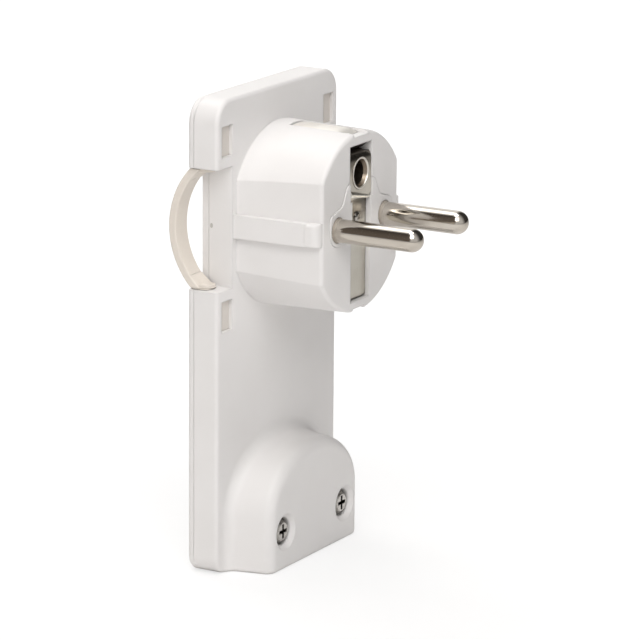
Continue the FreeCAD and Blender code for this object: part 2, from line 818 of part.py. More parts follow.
# Earth parts: bent strap, tube for an earth pin, terminal block behind the tube and a small rivet
strap_low_raw = pad("strap_low_raw", "YZ_Plane", [
    ("strip_recess", "eye_low + strap_thick"),
    ("strip_recess", f"-{strip_end}"),
    (web_back, f"-{strip_end}"),
    (web_back, f"-{leg_radius}"),
    ("leg_back", f"-{leg_radius}"),
    ("leg_back", f"-{leg_radius} + strap_thick"),
    (f"{web_back} + strap_thick", f"-{leg_radius} + strap_thick"),
    (f"{web_back} + strap_thick", f"-{strip_end} + strap_thick"),
    (strip_floor, f"-{strip_end} + strap_thick"),
    (strip_floor, "eye_low + strap_thick"),
], "-strip_width / 2", "strip_width")
strap_high_raw = pad("strap_high_raw", "YZ_Plane", [
    ("eye_recess", "eye_low"),
    (strip_floor, "eye_low"),
    (strip_floor, "eye_low + strap_thick"),
    ("eye_recess + strap_thick", "eye_low + strap_thick"),
    ("eye_recess + strap_thick", "eye_top - strap_thick"),
    ("leg_set + strap_thick", "eye_top - strap_thick"),
    ("leg_set + strap_thick", f"{leg_radius} - strap_thick"),
    ("leg_back", f"{leg_radius} - strap_thick"),
    ("leg_back", leg_radius),
    ("leg_set", leg_radius),
    ("leg_set", "eye_top"),
    ("eye_recess", "eye_top"),
], "-eye_width / 2", "eye_width")
strap_low = round_edges("strap_low", strap_low_raw, size("bend_round"), bends([
    ("strip_recess", f"-{strip_end}"),
    (web_back, f"-{leg_radius}"),
    (f"{web_back} + strap_thick", f"-{strip_end} + strap_thick"),
]))
eye_outer = round_edges(
    "eye_outer", strap_high_raw, size("eye_bend"), bends([("eye_recess", "eye_top")]),
)
eye_inner = round_edges(
    "eye_inner", eye_outer, size("eye_bend") - size("strap_thick"),
    bends([("eye_recess + strap_thick", "eye_top - strap_thick")]),
)
strap_high = round_edges("strap_high", eye_inner, size("bend_round"), bends([
    ("eye_recess", "eye_low"),
    ("leg_set + strap_thick", "eye_top - strap_thick"),
    ("leg_set", leg_radius),
]))
strap_cuts = []
for side, sign in (("left", -1), ("right", 1)):
    inner, outer = "leg_width / 2", "eye_width"
    low_x, high_x = (inner, outer) if sign == 1 else (f"-{outer}", f"-{inner}")
    strap_cuts.append(box(
        f"low_leg_trim_{side}",
        (low_x, strip_floor, "-boss_root_dia"),
        (high_x, "leg_back + part_clear", f"-{strip_end} + strap_thick"),
    ))
    strap_cuts.append(box(
        f"high_leg_trim_{side}",
        (low_x, "eye_recess + strap_thick", "eye_top - strap_thick"),
        (high_x, "leg_back + part_clear", "boss_root_dia"),
    ))
strap_cuts.append(rod(
    "eye_hole", "y", ("0", "-face_wall", "earth_offset"), "2 * face_wall", "tube_dia / 2 + fit_clear",
))
strap_cuts.append(rod(
    "strap_rivet_hole", "y", ("0", "-face_wall", "rivet_up"), "3 * face_wall", "rivet_dia / 2 + fit_clear",
))
earth_strap = cut("earth_strap", fuse("strap_solid", [strap_low, strap_high]), strap_cuts)

earth_socket = turned("earth_socket", [
    ("tube_mouth_dia / 2", "0"),
    ("tube_dia / 2", "0"),
    ("tube_dia / 2", "tube_depth + tube_end"),
    ("0", "tube_depth + tube_end"),
    ("0", "tube_depth"),
    ("tube_bore_dia / 2", "tube_depth"),
    ("tube_bore_dia / 2", "tube_mouth_depth"),
], ("0", "0", "earth_offset"))

terminal_front = "tube_depth + tube_end"
terminal_block = box(
    "earth_terminal_block",
    ("-terminal_width / 2", terminal_front, "earth_offset - terminal_height / 2"),
    ("terminal_width / 2", f"{terminal_front} + terminal_depth", "earth_offset + terminal_height / 2"),
)
earth_terminal = cut(
    "earth_terminal", terminal_block,
    terminal_cuts("earth_terminal", "0", terminal_front, "terminal_depth", "earth_offset", "terminal_height"),
)
earth_terminal_screw = slotted_screw(
    "earth_terminal_screw", "0", f"{terminal_front} + terminal_depth", "earth_offset",
)

strap_rivet = turned("strap_rivet", [
    ("0", "-rivet_head_height"),
    ("rivet_head_dia / 4", "-rivet_head_height"),
    ("rivet_head_dia / 2", "-rivet_head_height / 3"),
    ("rivet_head_dia / 2", "0"),
    ("rivet_dia / 2", "0"),
    ("rivet_dia / 2", "strap_thick + rivet_depth - fit_clear"),
    ("0", "strap_thick + rivet_depth - fit_clear"),
], ("0", "strip_recess", "rivet_up"))


def cross_screw(label, x, z):
    # pan-head screw along Y with a cross recess, its head toward -Y
    screw = turned(label + "_blank", [
        ("0", "-screw_head_height"),
        ("screw_head_dia / 3", "-screw_head_height"),
        ("screw_head_dia / 2", "-screw_head_height / 2"),
        ("screw_head_dia / 2", "0"),
        ("screw_dia / 2", "0"),
        ("screw_dia / 2", "screw_length - part_clear"),
        ("0", "screw_length - part_clear"),
    ], (x, screw_seat, z))
    top = f"{screw_seat} - screw_head_height"
    cuts = []
    narrow, wide = "driver_slot / 2", "screw_dia / 2"
    for name, half_x, half_z in (("upright", narrow, wide), ("level", wide, narrow)):
        cuts.append(box(
            f"{label}_{name}",
            (f"{x} - {half_x}", f"{top} - screw_head_height", f"{z} - {half_z}"),
            (f"{x} + {half_x}", f"{top} + screw_head_height / 2", f"{z} + {half_z}"),
        ))
    return cut(label, screw, cuts)


housing_screw = cross_screw("housing_screw", screw_x, "-screw_drop")
housing_screws = doc.addObject("Part::Compound", "housing_screws")
housing_screws.Links = [housing_screw, mirror_x("housing_screw_mirror", housing_screw)]

# Cord clamp: bar across the cord behind the entry, held by two screws in the clamp posts
clamp_bar = box(
    "clamp_bar",
    ("-clamp_bar_length / 2", clamp_seat, "-clamp_drop - clamp_bar_width / 2"),
    ("clamp_bar_length / 2", f"{clamp_seat} + clamp_bar_thick", "-clamp_drop + clamp_bar_width / 2"),
)
clamp_ways = [
    rod(
        f"clamp_way_{side}", "y",
        (f"{sign}clamp_spacing / 2", f"{clamp_seat} - clamp_bar_thick", "-clamp_drop"),
        "3 * clamp_bar_thick", "clamp_screw_dia / 2 + part_clear",
    )
    for side, sign in (("left", "-"), ("right", ""))
]
cord_clamp = cut("cord_clamp", clamp_bar, clamp_ways)
clamp_blank = turned("clamp_blank", [
    ("0", "-clamp_screw_length"),
    ("clamp_screw_dia / 2", "-clamp_screw_length"),
    ("clamp_screw_dia / 2", "0"),
    ("clamp_head_dia / 2", "0"),
    ("clamp_head_dia / 2", "clamp_head_height"),
    ("0", "clamp_head_height"),
], ("clamp_spacing / 2", f"{clamp_seat} + clamp_bar_thick", "-clamp_drop"))
clamp_top = f"{clamp_seat} + clamp_bar_thick"
clamp_slot = box(
    "clamp_slot",
    (
        "clamp_spacing / 2 - driver_slot / 2", f"{clamp_top} + clamp_head_height / 2",
        "-clamp_drop - clamp_head_dia",
    ),
    (
        "clamp_spacing / 2 + driver_slot / 2", f"{clamp_top} + 2 * clamp_head_height",
        "-clamp_drop + clamp_head_dia",
    ),
)
clamp_screw = cut("clamp_screw", clamp_blank, [clamp_slot])
cord_clamp_screws = doc.addObject("Part::Compound", "cord_clamp_screws")
cord_clamp_screws.Links = [clamp_screw, mirror_x("clamp_screw_mirror", clamp_screw)]

doc.recompute()

sub_parts = [
    front_housing, rear_cover, pull_bow, pin_bridge, *pins, line_terminal_screw, neutral_terminal_screw,
    earth_strap, earth_socket, earth_terminal, earth_terminal_screw, strap_rivet,
    housing_screws, cord_clamp, cord_clamp_screws,
]

for obj in doc.Objects:
    if "Invalid" in obj.State or "Error" in obj.State:
        raise RuntimeError(f"{obj.Label} failed: {obj.State}")
for part in sub_parts:
    if part.Shape.isNull() or not part.Shape.isValid():
        raise RuntimeError(f"{part.Label} has no valid shape")

os.makedirs("parts", exist_ok=True)
for part in sub_parts:
    part.Shape.exportStep(f"parts/{part.Label}.step")
    print(f"{part.Label}: {len(part.Shape.Solids)} solids, {part.Shape.Volume:.1f} mm3")
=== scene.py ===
import math

import bmesh
import bpy
import numpy as np
from mathutils import Matrix, Vector


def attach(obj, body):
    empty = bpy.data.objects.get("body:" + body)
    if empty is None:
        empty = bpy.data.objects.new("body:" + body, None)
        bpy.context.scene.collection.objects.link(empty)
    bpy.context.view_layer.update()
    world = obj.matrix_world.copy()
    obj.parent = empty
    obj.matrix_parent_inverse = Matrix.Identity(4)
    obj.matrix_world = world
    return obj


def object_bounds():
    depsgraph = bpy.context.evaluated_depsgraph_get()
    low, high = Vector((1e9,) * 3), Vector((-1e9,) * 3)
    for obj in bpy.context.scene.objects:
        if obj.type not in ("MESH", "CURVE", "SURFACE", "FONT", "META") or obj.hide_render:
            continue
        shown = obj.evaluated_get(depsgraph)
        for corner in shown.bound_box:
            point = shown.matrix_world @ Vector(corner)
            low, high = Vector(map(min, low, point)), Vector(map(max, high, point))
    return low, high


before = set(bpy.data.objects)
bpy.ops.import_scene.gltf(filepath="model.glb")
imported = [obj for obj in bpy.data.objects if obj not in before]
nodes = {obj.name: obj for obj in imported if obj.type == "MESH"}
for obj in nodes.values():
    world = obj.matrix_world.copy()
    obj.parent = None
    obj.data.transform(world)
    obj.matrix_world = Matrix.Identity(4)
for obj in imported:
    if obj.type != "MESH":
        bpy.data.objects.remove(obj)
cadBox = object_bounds()
scene = bpy.context.scene
scene.view_settings.view_transform = "Standard"
print("frame loaded:", len(nodes), "nodes")

# Shared by all finishes: noise levels at which the two tones are pure, and samples for edges and for the
# painted shade in hollows
mixing = {"toneLow": 0.3, "toneHigh": 0.7, "edgeSamples": 6, "hollowSamples": 8}


# Node trees: add makes one node, sets its sockets and links those that are given an output
class Tree:
    def __init__(self, owner):
        owner.use_nodes = True
        self.tree = owner.node_tree
        self.tree.nodes.clear()

    def add(self, kind, settings=None, **sockets):
        # a socket goes by its name, with _ for a space, or by i and its number;
        # the two vectors of a Mix node are i4 and i5, its two colours i6 and i7
        node = self.tree.nodes.new("ShaderNode" + kind)
        for name, value in (settings or {}).items():
            setattr(node, name, value)
        for name, value in sockets.items():
            numbered = name[0] == "i" and name[1:].isdigit()
            socket = node.inputs[int(name[1:]) if numbered else name.replace("_", " ")]
            if isinstance(value, bpy.types.NodeSocket):
                self.tree.links.new(value, socket)
            else:
                socket.default_value = value
        return node

    def ramp(self, factor, stops):
        node = self.add("ValToRGB", Fac=factor)
        elements = node.color_ramp.elements
        while len(elements) < len(stops):
            elements.new(0.5)
        for element, (place, colour) in zip(elements, stops):
            element.position = place
            element.color = (*colour, 1.0)
        return node.outputs["Color"]

    def span(self, value, start, end, low=0.0, high=1.0):
        node = self.add("MapRange", Value=value, From_Min=start, From_Max=end, To_Min=low, To_Max=high)
        return node.outputs["Result"]

    def along(self, place, axis, start, end, low=0.0, high=1.0):
        return self.span(self.add("SeparateXYZ", Vector=place).outputs[axis], start, end, low, high)

    def noise(self, place, scale, detail):
        return self.add("TexNoise", Vector=place, Scale=scale, Detail=detail).outputs["Fac"]

    def edge(self, radius):
        return self.add("Bevel", {"samples": mixing["edgeSamples"]}, Radius=radius).outputs["Normal"]

    def bump(self, height, strength, distance, normal):
        node = self.add("Bump", Height=height, Strength=strength, Distance=distance, Normal=normal)
        return node.outputs["Normal"]

    def paint(self, place, cloud, look):
        # two tones clouded together, then tinted along an axis where the look has zones, which paints light
        # and shade there, and painted darker in hollows as shade
        beforeHollowShade = self.ramp(cloud, [(mixing["toneLow"], look["dark"]), (mixing["toneHigh"], look["light"])])
        for axis, start, end, stops in look.get("zones", []):
            tint = self.ramp(self.along(place, axis, start, end), stops)
            blend = {"data_type": "RGBA", "blend_type": "MULTIPLY"}
            beforeHollowShade = self.add("Mix", blend, i0=1.0, i6=beforeHollowShade, i7=tint).outputs[2]
        # painted shade: ambient occlusion blends the colour towards the look's deep tone where the surface
        # is shut in
        hollow = self.add("AmbientOcclusion", {"samples": mixing["hollowSamples"]}, Distance=look["hollow"])
        air = self.span(hollow.outputs["AO"], look["shut"], look["clear"])
        return self.add("Mix", {"data_type": "RGBA"}, i0=air, i6=(*look["deep"], 1.0), i7=beforeHollowShade).outputs[2]


def plastic(name, look):
    # moulded plastic: faint clouding of the colour, uneven gloss, fine grain and softened edges
    material = bpy.data.materials.new(name)
    t = Tree(material)
    place = t.add("TexCoord").outputs["Object"]
    cloud = t.noise(place, look["cloudScale"], look["cloudDetail"])
    grain = t.noise(place, look["grainScale"], look["grainDetail"])
    speck = t.noise(place, look["speckScale"], look["speckDetail"])
    wave = t.bump(grain, look["grain"], look["grainDepth"], t.edge(look["edge"]))
    shader = t.add(
        "BsdfPrincipled", Base_Color=t.paint(place, cloud, look), IOR=look["ior"],
        Normal=t.bump(speck, look["speck"], look["speckDepth"], wave),
        Roughness=t.span(cloud, 0.0, 1.0, look["roughLow"], look["roughHigh"]),
    )
    t.add("OutputMaterial", Surface=shader.outputs["BSDF"])
    return material


def metal(name, look):
    # plated metal: faint tarnish, fine lines along one axis and softened edges;
    # a look may have a zone that is matte
    material = bpy.data.materials.new(name)
    t = Tree(material)
    place = t.add("TexCoord").outputs["Object"]
    cloud = t.noise(place, look["cloudScale"], look["cloudDetail"])
    drawn = t.add("Mapping", Vector=place, Scale=look["lay"]).outputs["Vector"]
    lines = t.noise(drawn, 1.0, look["lineDetail"])
    gloss = t.span(lines, 0.0, 1.0, look["roughLow"], look["roughHigh"])
    if "matte" in look:
        dull = t.along(place, *look["matte"])
        gloss = t.add("Math", {"operation": "MAXIMUM"}, i0=gloss, i1=dull).outputs[0]
    shader = t.add(
        "BsdfPrincipled", Base_Color=t.paint(place, cloud, look), Roughness=gloss, Metallic=1.0,
        Normal=t.bump(lines, look["grain"], look["lineDepth"], t.edge(look["edge"])),
    )
    t.add("OutputMaterial", Surface=shader.outputs["BSDF"])
    return material


# Finishes, lengths in metres: dark and light are the two tones, and deep is the painted shade of hollows,
# which fades from the openness shut to clear, felt over the length hollow. A zone gives its axis, start,
# end and the tints between them, painted light and shade along that axis; matte gives an axis, start, end
# and the roughness at each
white = {
    "dark": (0.798, 0.782, 0.774), "light": (0.828, 0.814, 0.808), "cloudScale": 60.0, "cloudDetail": 3.0,
    "roughLow": 0.42, "roughHigh": 0.50, "ior": 1.5, "edge": 0.00015,
    "grain": 0.05, "grainScale": 900.0, "grainDetail": 2.0, "grainDepth": 0.0002,
    "speck": 0.06, "speckScale": 5000.0, "speckDetail": 1.0, "speckDepth": 0.00005,
    # painted shade in the hollows of the plastics
    "deep": (0.45, 0.43, 0.40), "hollow": 0.0030, "shut": 0.05, "clear": 0.30,
}
plated = {
    "cloudScale": 220.0, "cloudDetail": 4.0, "roughLow": 0.24, "roughHigh": 0.34, "edge": 0.00012,
    "lay": (3000.0, 3000.0, 200.0), "grain": 0.05, "lineDetail": 3.0, "lineDepth": 0.00003,
    # painted shade in the hollows of the metals
    "deep": (0.06, 0.05, 0.04), "hollow": 0.0035, "shut": 0.25, "clear": 0.80,
}
finishes = {
    "whitePlastic": (plastic, white),
    "housingPlastic": (plastic, {**white, "edge": 0.0005}),
    # painted shade: darker and warmer than the white, for the pads that sit in shade inside the windows
    "padPlastic": (plastic, {**white, "dark": (0.69, 0.65, 0.605), "light": (0.72, 0.68, 0.635)}),
    "bridgePlastic": (plastic, {**white, "edge": 0.0004}),
    "markPlastic": (plastic, {**white, "dark": (0.54, 0.52, 0.49), "light": (0.62, 0.60, 0.57)}),
    "creamPlastic": (plastic, {
        **white, "dark": (0.760, 0.700, 0.630), "light": (0.790, 0.735, 0.665), "cloudScale": 90.0,
        "roughLow": 0.34, "roughHigh": 0.42, "edge": 0.0003,
    }),
    "clampPlastic": (plastic, {
        **white, "dark": (0.30, 0.29, 0.28), "light": (0.36, 0.35, 0.34), "cloudScale": 120.0,
        "roughLow": 0.45, "roughHigh": 0.55, "edge": 0.0003, "grain": 0.08, "speck": 0.08,
    }),
    # the pins' flared roots are dull, and painted darker near the root as shade where the pins meet the
    # face
    "pinMetal": (metal, {
        **plated, "dark": (0.565, 0.52, 0.46), "light": (0.625, 0.583, 0.527), "cloudScale": 160.0,
        "roughLow": 0.10, "roughHigh": 0.16, "edge": 0.00015, "lay": (4000.0, 150.0, 4000.0), "grain": 0.03,
        "deep": (0.30, 0.26, 0.22), "hollow": 0.0010, "shut": 0.35, "clear": 0.75,
        "zones": [("Y", -0.0012, 0.0, [(0.0, (1.0, 1.0, 1.0)), (0.6, (0.80, 0.79, 0.78))])],
        "matte": ("Y", -0.0014, -0.0006, 0.0, 0.80),
    }),
    # painted light and shade: the strap is pale so that the leg over the boss looks lit, and tinted darker
    # elsewhere, with painted shadow under the fold and at the top of the eye panel
    "strapMetal": (metal, {
        **plated, "dark": (0.86, 0.83, 0.77), "light": (0.96, 0.94, 0.89), "hollow": 0.0020,
        "zones": [("Z", -0.020, 0.020, [
            (0.500, (0.66, 0.65, 0.62)), (0.540, (0.39, 0.37, 0.34)), (0.600, (0.21, 0.20, 0.18)),
            (0.632, (0.80, 0.78, 0.74)), (0.740, (0.72, 0.70, 0.66)), (0.800, (0.22, 0.205, 0.18)),
            (0.860, (0.20, 0.19, 0.17)), (0.872, (1.0, 1.0, 1.0)),
        ])],
    }),
    # a bright rim round a bore painted dark brown as shade
    "tubeMetal": (metal, {
        **plated, "dark": (0.80, 0.77, 0.70), "light": (0.88, 0.85, 0.79), "roughLow": 0.30,
        "roughHigh": 0.45, "deep": (0.30, 0.26, 0.22),
        "zones": [("Y", 0.0, 0.0020, [
            (0.0, (1.0, 1.0, 1.0)), (0.06, (1.0, 1.0, 1.0)), (0.12, (0.29, 0.25, 0.215)),
        ])],
    }),
    "foldMetal": (metal, {
        **plated, "dark": (0.84, 0.81, 0.72), "light": (0.92, 0.895, 0.82), "hollow": 0.0010,
    }),
    # painted light: pale, so that the contact strip in the groove on the boss looks lit from above
    "legMetal": (metal, {
        **plated, "dark": (0.86, 0.83, 0.78), "light": (0.95, 0.93, 0.89), "hollow": 0.0005,
        "roughLow": 0.50, "roughHigh": 0.60,
    }),
    # painted shade: near black, for the sheet that stands for the shadow in the slot over the eye panel
    "shadeMetal": (metal, {
        **plated, "dark": (0.035, 0.030, 0.025), "light": (0.065, 0.058, 0.050),
        "roughLow": 0.40, "roughHigh": 0.55,
    }),
    # painted shade and glints: near black mottled with bright specks, for a shaded hole with glints
    "rivetMetal": (metal, {
        **plated, "dark": (0.05, 0.045, 0.04), "light": (0.80, 0.77, 0.72), "cloudScale": 1800.0,
        "roughLow": 0.12, "roughHigh": 0.30, "grain": 0.5,
    }),
    "screwMetal": (metal, {
        **plated, "dark": (0.50, 0.48, 0.45), "light": (0.60, 0.585, 0.56), "cloudScale": 500.0,
        "roughLow": 0.22, "roughHigh": 0.36, "edge": 0.00015, "lay": (2500.0, 2500.0, 2500.0),
        "grain": 0.06, "deep": (0.08, 0.07, 0.06), "hollow": 0.0020,
    }),
}
looks = {name: make(name, look) for name, (make, look) in finishes.items()}
print("finishes mixed:", len(looks))

# The finish of each CAD node
dressing = {
    "front_housing": "housingPlastic", "rear_cover": "whitePlastic", "pin_bridge": "bridgePlastic",
    "pull_bow": "creamPlastic", "cord_clamp": "clampPlastic",
    "line_pin": "pinMetal", "neutral_pin": "pinMetal",
    "earth_strap": "strapMetal", "earth_socket": "tubeMetal", "strap_rivet": "rivetMetal",
    "earth_terminal": "strapMetal",
    "line_terminal_screw": "screwMetal", "neutral_terminal_screw": "screwMetal",
    "earth_terminal_screw": "screwMetal", "housing_screws": "screwMetal", "cord_clamp_screws": "screwMetal",
}
for name, look in dressing.items():
    data = nodes[name].data
    data.materials.clear()
    data.materials.append(looks[look])
print("nodes dressed:", len(dressing))

# The sizes of the new pieces below are in millimetres
millimetre = 0.001
mergeGap = 1e-7  # metres


def skin(name, rings, look, body="plug"):
    # rings by points by xyz, skinned one to the next; the middles of the first and last ring close the ends
    points = rings.shape[1]
    start = rings[:1].mean(axis=1, keepdims=True).repeat(points, axis=1)
    end = rings[-1:].mean(axis=1, keepdims=True).repeat(points, axis=1)
    rings = np.concatenate([start, rings, end])
    index = np.arange(rings.shape[0] * points).reshape(rings.shape[:2])
    ahead = np.roll(index, -1, axis=1)
    quads = np.stack([index[:-1], index[1:], ahead[1:], ahead[:-1]], axis=-1).reshape(-1, 4)
    mesh = bpy.data.meshes.new(name)
    mesh.from_pydata((rings.reshape(-1, 3) * millimetre).tolist(), [], quads.tolist())
    work = bmesh.new()
    work.from_mesh(mesh)
    bmesh.ops.remove_doubles(work, verts=work.verts, dist=mergeGap)
    bmesh.ops.recalc_face_normals(work, faces=work.faces)
    work.to_mesh(mesh)
    work.free()
    mesh.shade_smooth()
    mesh.materials.append(looks[look])
    piece = bpy.data.objects.new(name, mesh)
    scene.collection.objects.link(piece)
    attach(piece, body)


def lengthwise(rings):
    # angles from the first ring to the last, as a column
    return np.linspace(0.0, math.pi, rings)[:, None]


def once(points):
    # angles once round a ring
    return np.linspace(0.0, 2.0 * math.pi, points, endpoint=False)


def rounded(angle, corner):
    # superellipse of exponent n: |cos a|^(2/n) and |sin a|^(2/n), each with its sign
    c, s = np.cos(angle), np.sin(angle)
    return np.sign(c) * np.abs(c) ** (2.0 / corner), np.sign(s) * np.abs(s) ** (2.0 / corner)


def grid(x, y, z):
    return np.stack(np.broadcast_arrays(x, y, z), axis=-1)


def pad(middle, half, corner, rings=24, points=48):
    # rounded box: rings along z at middle + half cos, each a superellipse in x and y shrunk by sin
    level, size = rounded(lengthwise(rings), corner)
    wide, deep = rounded(once(points), corner)
    return grid(
        middle[0] + half[0] * size * wide, middle[1] + half[1] * size * deep, middle[2] + half[2] * level,
    )


# Rounded nose at the front of each guide ridge, from the boss rim to the ridge's full height
nose = {
    "front": 0.15, "full": 1.7, "end": 3.2, "half": 2.42, "base": 15.5, "sunk": 0.5, "top": 17.37,
    "corner": 7.0, "rings": 28, "points": 80,
}


def noseRings(way):
    # rings along y, each a rounded box: z = half cos, x = base + (top - base) rise sin outside and
    # base + sunk sin inside; rise = sqrt(1 - (1 - u)^2) with u = (y - front) / (full - front), at most 1
    y = np.linspace(nose["front"], nose["end"], nose["rings"])[:, None]
    u = np.clip((y - nose["front"]) / (nose["full"] - nose["front"]), 0.0, 1.0)
    rise = np.sqrt(1.0 - (1.0 - u) ** 2)
    side, lift = rounded(once(nose["points"]), nose["corner"])
    x = nose["base"] + lift * np.where(lift > 0.0, (nose["top"] - nose["base"]) * rise, nose["sunk"])
    return grid(way * x, y, nose["half"] * side)


for name, way in (("ridgeNoseLeft", -1.0), ("ridgeNoseRight", 1.0)):
    skin(name, noseRings(way), "housingPlastic")

# Rolled fold at the foot of the eye panel
fold = {
    "half": 4.25, "radius": 0.58, "taper": 0.055, "y": 0.40, "z": 5.35, "slope": 0.20,
    "corner": 8.0, "rings": 40, "points": 28,
}


def foldRings():
    # circles about a sloping axis at x = half cos, of radius sin times a taper that is linear in x, so that
    # the ends are rounded and the right end is thin
    place, size = rounded(lengthwise(fold["rings"]), fold["corner"])
    x = fold["half"] * place
    radius = size * (fold["radius"] - fold["taper"] * x)
    spin = once(fold["points"])
    return grid(x, fold["y"] + radius * np.cos(spin), fold["z"] - fold["slope"] * x + radius * np.sin(spin))


skin("strapFold", foldRings(), "foldMetal")

# Dark sheet that closes the slot over the eye panel's bend: painted shade, it stands where the slot lies in
# shadow
slotShade = {
    "half": 4.3, "y": 1.50, "z": 15.25, "long": 0.95, "thick": 0.12, "slope": -41.0,
    "corner": 9.0, "rings": 24, "points": 40,
}


def slotShadeRings():
    # slab: rings at x = half cos, each a rounded box, long by thick, shrunk by sin and turned by the slope
    place, size = rounded(lengthwise(slotShade["rings"]), slotShade["corner"])
    ahead, out = rounded(once(slotShade["points"]), slotShade["corner"])
    tilt = math.radians(slotShade["slope"])
    run, rise = slotShade["long"] * size * ahead, slotShade["thick"] * size * out
    return grid(
        slotShade["half"] * place, slotShade["y"] + run * math.cos(tilt) - rise * math.sin(tilt),
        slotShade["z"] + run * math.sin(tilt) + rise * math.cos(tilt),
    )


skin("eyeSlotShade", slotShadeRings(), "shadeMetal")

# Pads on the cover tongues, flush with the walls of the four windows, coloured darker and warmer as painted
# shade inside the windows
windowPad = {"x": 20.2, "y": 20.2, "z": 17.9, "half": (2.09, 0.15, 3.14), "corner": 14.0}
for name, sideward, upward in (
    ("windowPadHighLeft", -1, 1), ("windowPadHighRight", 1, 1),
    ("windowPadLowLeft", -1, -1), ("windowPadLowRight", 1, -1),
):
    middle = (sideward * windowPad["x"], windowPad["y"], upward * windowPad["z"])
    skin(name, pad(middle, windowPad["half"], windowPad["corner"]), "padPlastic")

# Shoes under the two ends of the bow, in its gaps to the ledges
shoe = {"x": -21.05, "y": 24.1, "z": 12.34, "half": (2.2, 2.05, 0.15), "corner": 4.0}
for name, upward in (("bowShoeHigh", 1), ("bowShoeLow", -1)):
    middle = (shoe["x"], shoe["y"], upward * shoe["z"])
    skin(name, pad(middle, shoe["half"], shoe["corner"]), "creamPlastic", "bow")

# Gusset on the inner side of each end of the bow
gusset = {
    "x": -21.05, "half": 2.2, "back": 26.10, "reach": 2.35, "spread": 1.30, "foot": 12.47, "height": 2.80,
    "corner": 8.0, "rings": 24, "points": 48,
}


def gussetRings(upward):
    # rings along x, each a rounded box squeezed to a triangle by y = back - reach w (1 - h), with w and h
    # from 0 to 1; the reach grows with x
    along, size = rounded(lengthwise(gusset["rings"]), gusset["corner"])
    wide, lift = rounded(once(gusset["points"]), gusset["corner"])
    w, h = 0.5 + 0.5 * size * wide, 0.5 + 0.5 * size * lift
    y = gusset["back"] - (gusset["reach"] + gusset["spread"] * along) * w * (1.0 - h)
    return grid(gusset["x"] + gusset["half"] * along, y, upward * (gusset["foot"] - gusset["height"] * h))


for name, upward in (("bowGussetHigh", 1), ("bowGussetLow", -1)):
    skin(name, gussetRings(upward), "creamPlastic", "bow")

# Contact strip in the groove on top of the boss, sloping down at the front
legStrip = {
    "half": 2.68, "y": 8.6, "long": 6.45, "level": 17.75, "rise": 0.75, "slope": 0.026, "radius": 18.8,
    "run": 3.0, "sunk": 0.2, "corner": 9.0, "rings": 96, "points": 64,
}


def legStripRings():
    # rings along y, each a rounded box from level - sunk up to level + crest, which follows the boss:
    # crest = (rise + slope y - x^2 / (2 radius)) sin(pi / 2 times the share of the run that is passed)
    along, size = rounded(lengthwise(legStrip["rings"]), legStrip["corner"])
    wide, lift = rounded(once(legStrip["points"]), legStrip["corner"])
    x, y = legStrip["half"] * size * wide, legStrip["y"] + legStrip["long"] * along
    passed = np.clip((y - legStrip["y"] + legStrip["long"]) / legStrip["run"], 0.0, 1.0)
    crest = legStrip["rise"] + legStrip["slope"] * y - x ** 2 / (2.0 * legStrip["radius"])
    crest = crest * np.sin(0.5 * math.pi * passed)
    return grid(x, y, legStrip["level"] + size * lift * np.where(lift > 0.0, crest, legStrip["sunk"]))


skin("legStrip", legStripRings(), "legMetal")

# Moulding gate mark on the floor of the side notch
gate = {
    "x": -18.2, "y": 24.1, "z": -0.2, "core": 0.02, "radius": 0.34, "tall": 1.5, "ring": 0.20,
    "width": 0.08, "height": 0.05, "skin": 0.01, "foot": 0.10, "rings": 12, "points": 32,
}


def gateRings():
    # ovals of radius r, raised by skin + height exp(-((r - ring) / width)^2); the outermost is sunk by foot
    r = np.append(np.linspace(gate["core"], gate["radius"], gate["rings"]), gate["radius"])[:, None]
    raised = gate["skin"] + gate["height"] * np.exp(-((r - gate["ring"]) / gate["width"]) ** 2)
    raised[-1] = -gate["foot"]
    spin = once(gate["points"])
    y, z = gate["y"] + r * np.cos(spin), gate["z"] + gate["tall"] * r * np.sin(spin)
    return grid(gate["x"] - raised, y, z)


skin("gateMark", gateRings(), "markPlastic")
print("small pieces added")

# Studio: pale floor under the plug, a white surround for the camera alone, three soft panels
studio = {
    "floorZ": cadBox[0].z, "floorHalf": 3.0, "floorTone": (0.89, 0.885, 0.88, 1.0),
    "glowTone": (1.0, 1.0, 1.0, 1.0), "glowStrength": 1.1,
    "glowNear": 0.62, "glowFar": 1.0, "glowStart": 0.05, "glowEnd": 0.16,
    "skyLeft": (0.665, 0.66, 0.655), "skyRight": (0.045, 0.042, 0.04), "rightStart": -0.2, "rightEnd": 0.4,
    "skyRear": (1.00, 0.99, 0.975), "rearStart": 0.1, "rearEnd": 0.4,
    "gloomLow": (0.15, 0.125, 0.105), "gloomHigh": (0.025, 0.021, 0.018),
    "gloomStart": -0.86, "gloomEnd": -0.10, "gloomEdge": 0.69, "gloomCore": 0.76,
    "gloomToward": (-0.50, 0.48, 0.72), "gloomMirrored": (-0.78, 0.48, 0.40),
}
panels = {
    # name: (direction from the plug, distance, width, height, watts, colour)
    "keyPanel": ((-0.62, -0.36, 0.69), 0.55, 0.31, 0.31, 1.32, (1.0, 0.985, 0.97)),
    "topPanel": ((-0.10, 0.00, 1.00), 0.8, 0.36, 0.36, 2.10, (1.0, 0.99, 0.98)),
    "rearPanel": ((0.22, 0.48, 0.85), 0.9, 0.36, 0.72, 1.70, (1.0, 0.985, 0.96)),
}
aim = Vector((0.0, 0.010, -0.020))  # the panels and the camera face this point

floorMesh = bpy.data.meshes.new("floor")
corners = [(x * studio["floorHalf"], y * studio["floorHalf"], studio["floorZ"])
           for x, y in ((-1, -1), (1, -1), (1, 1), (-1, 1))]
floorMesh.from_pydata(corners, [], [(0, 1, 2, 3)])
floor = bpy.data.objects.new("floor", floorMesh)
scene.collection.objects.link(floor)
floorLook = bpy.data.materials.new("floorLook")
ground = Tree(floorLook)
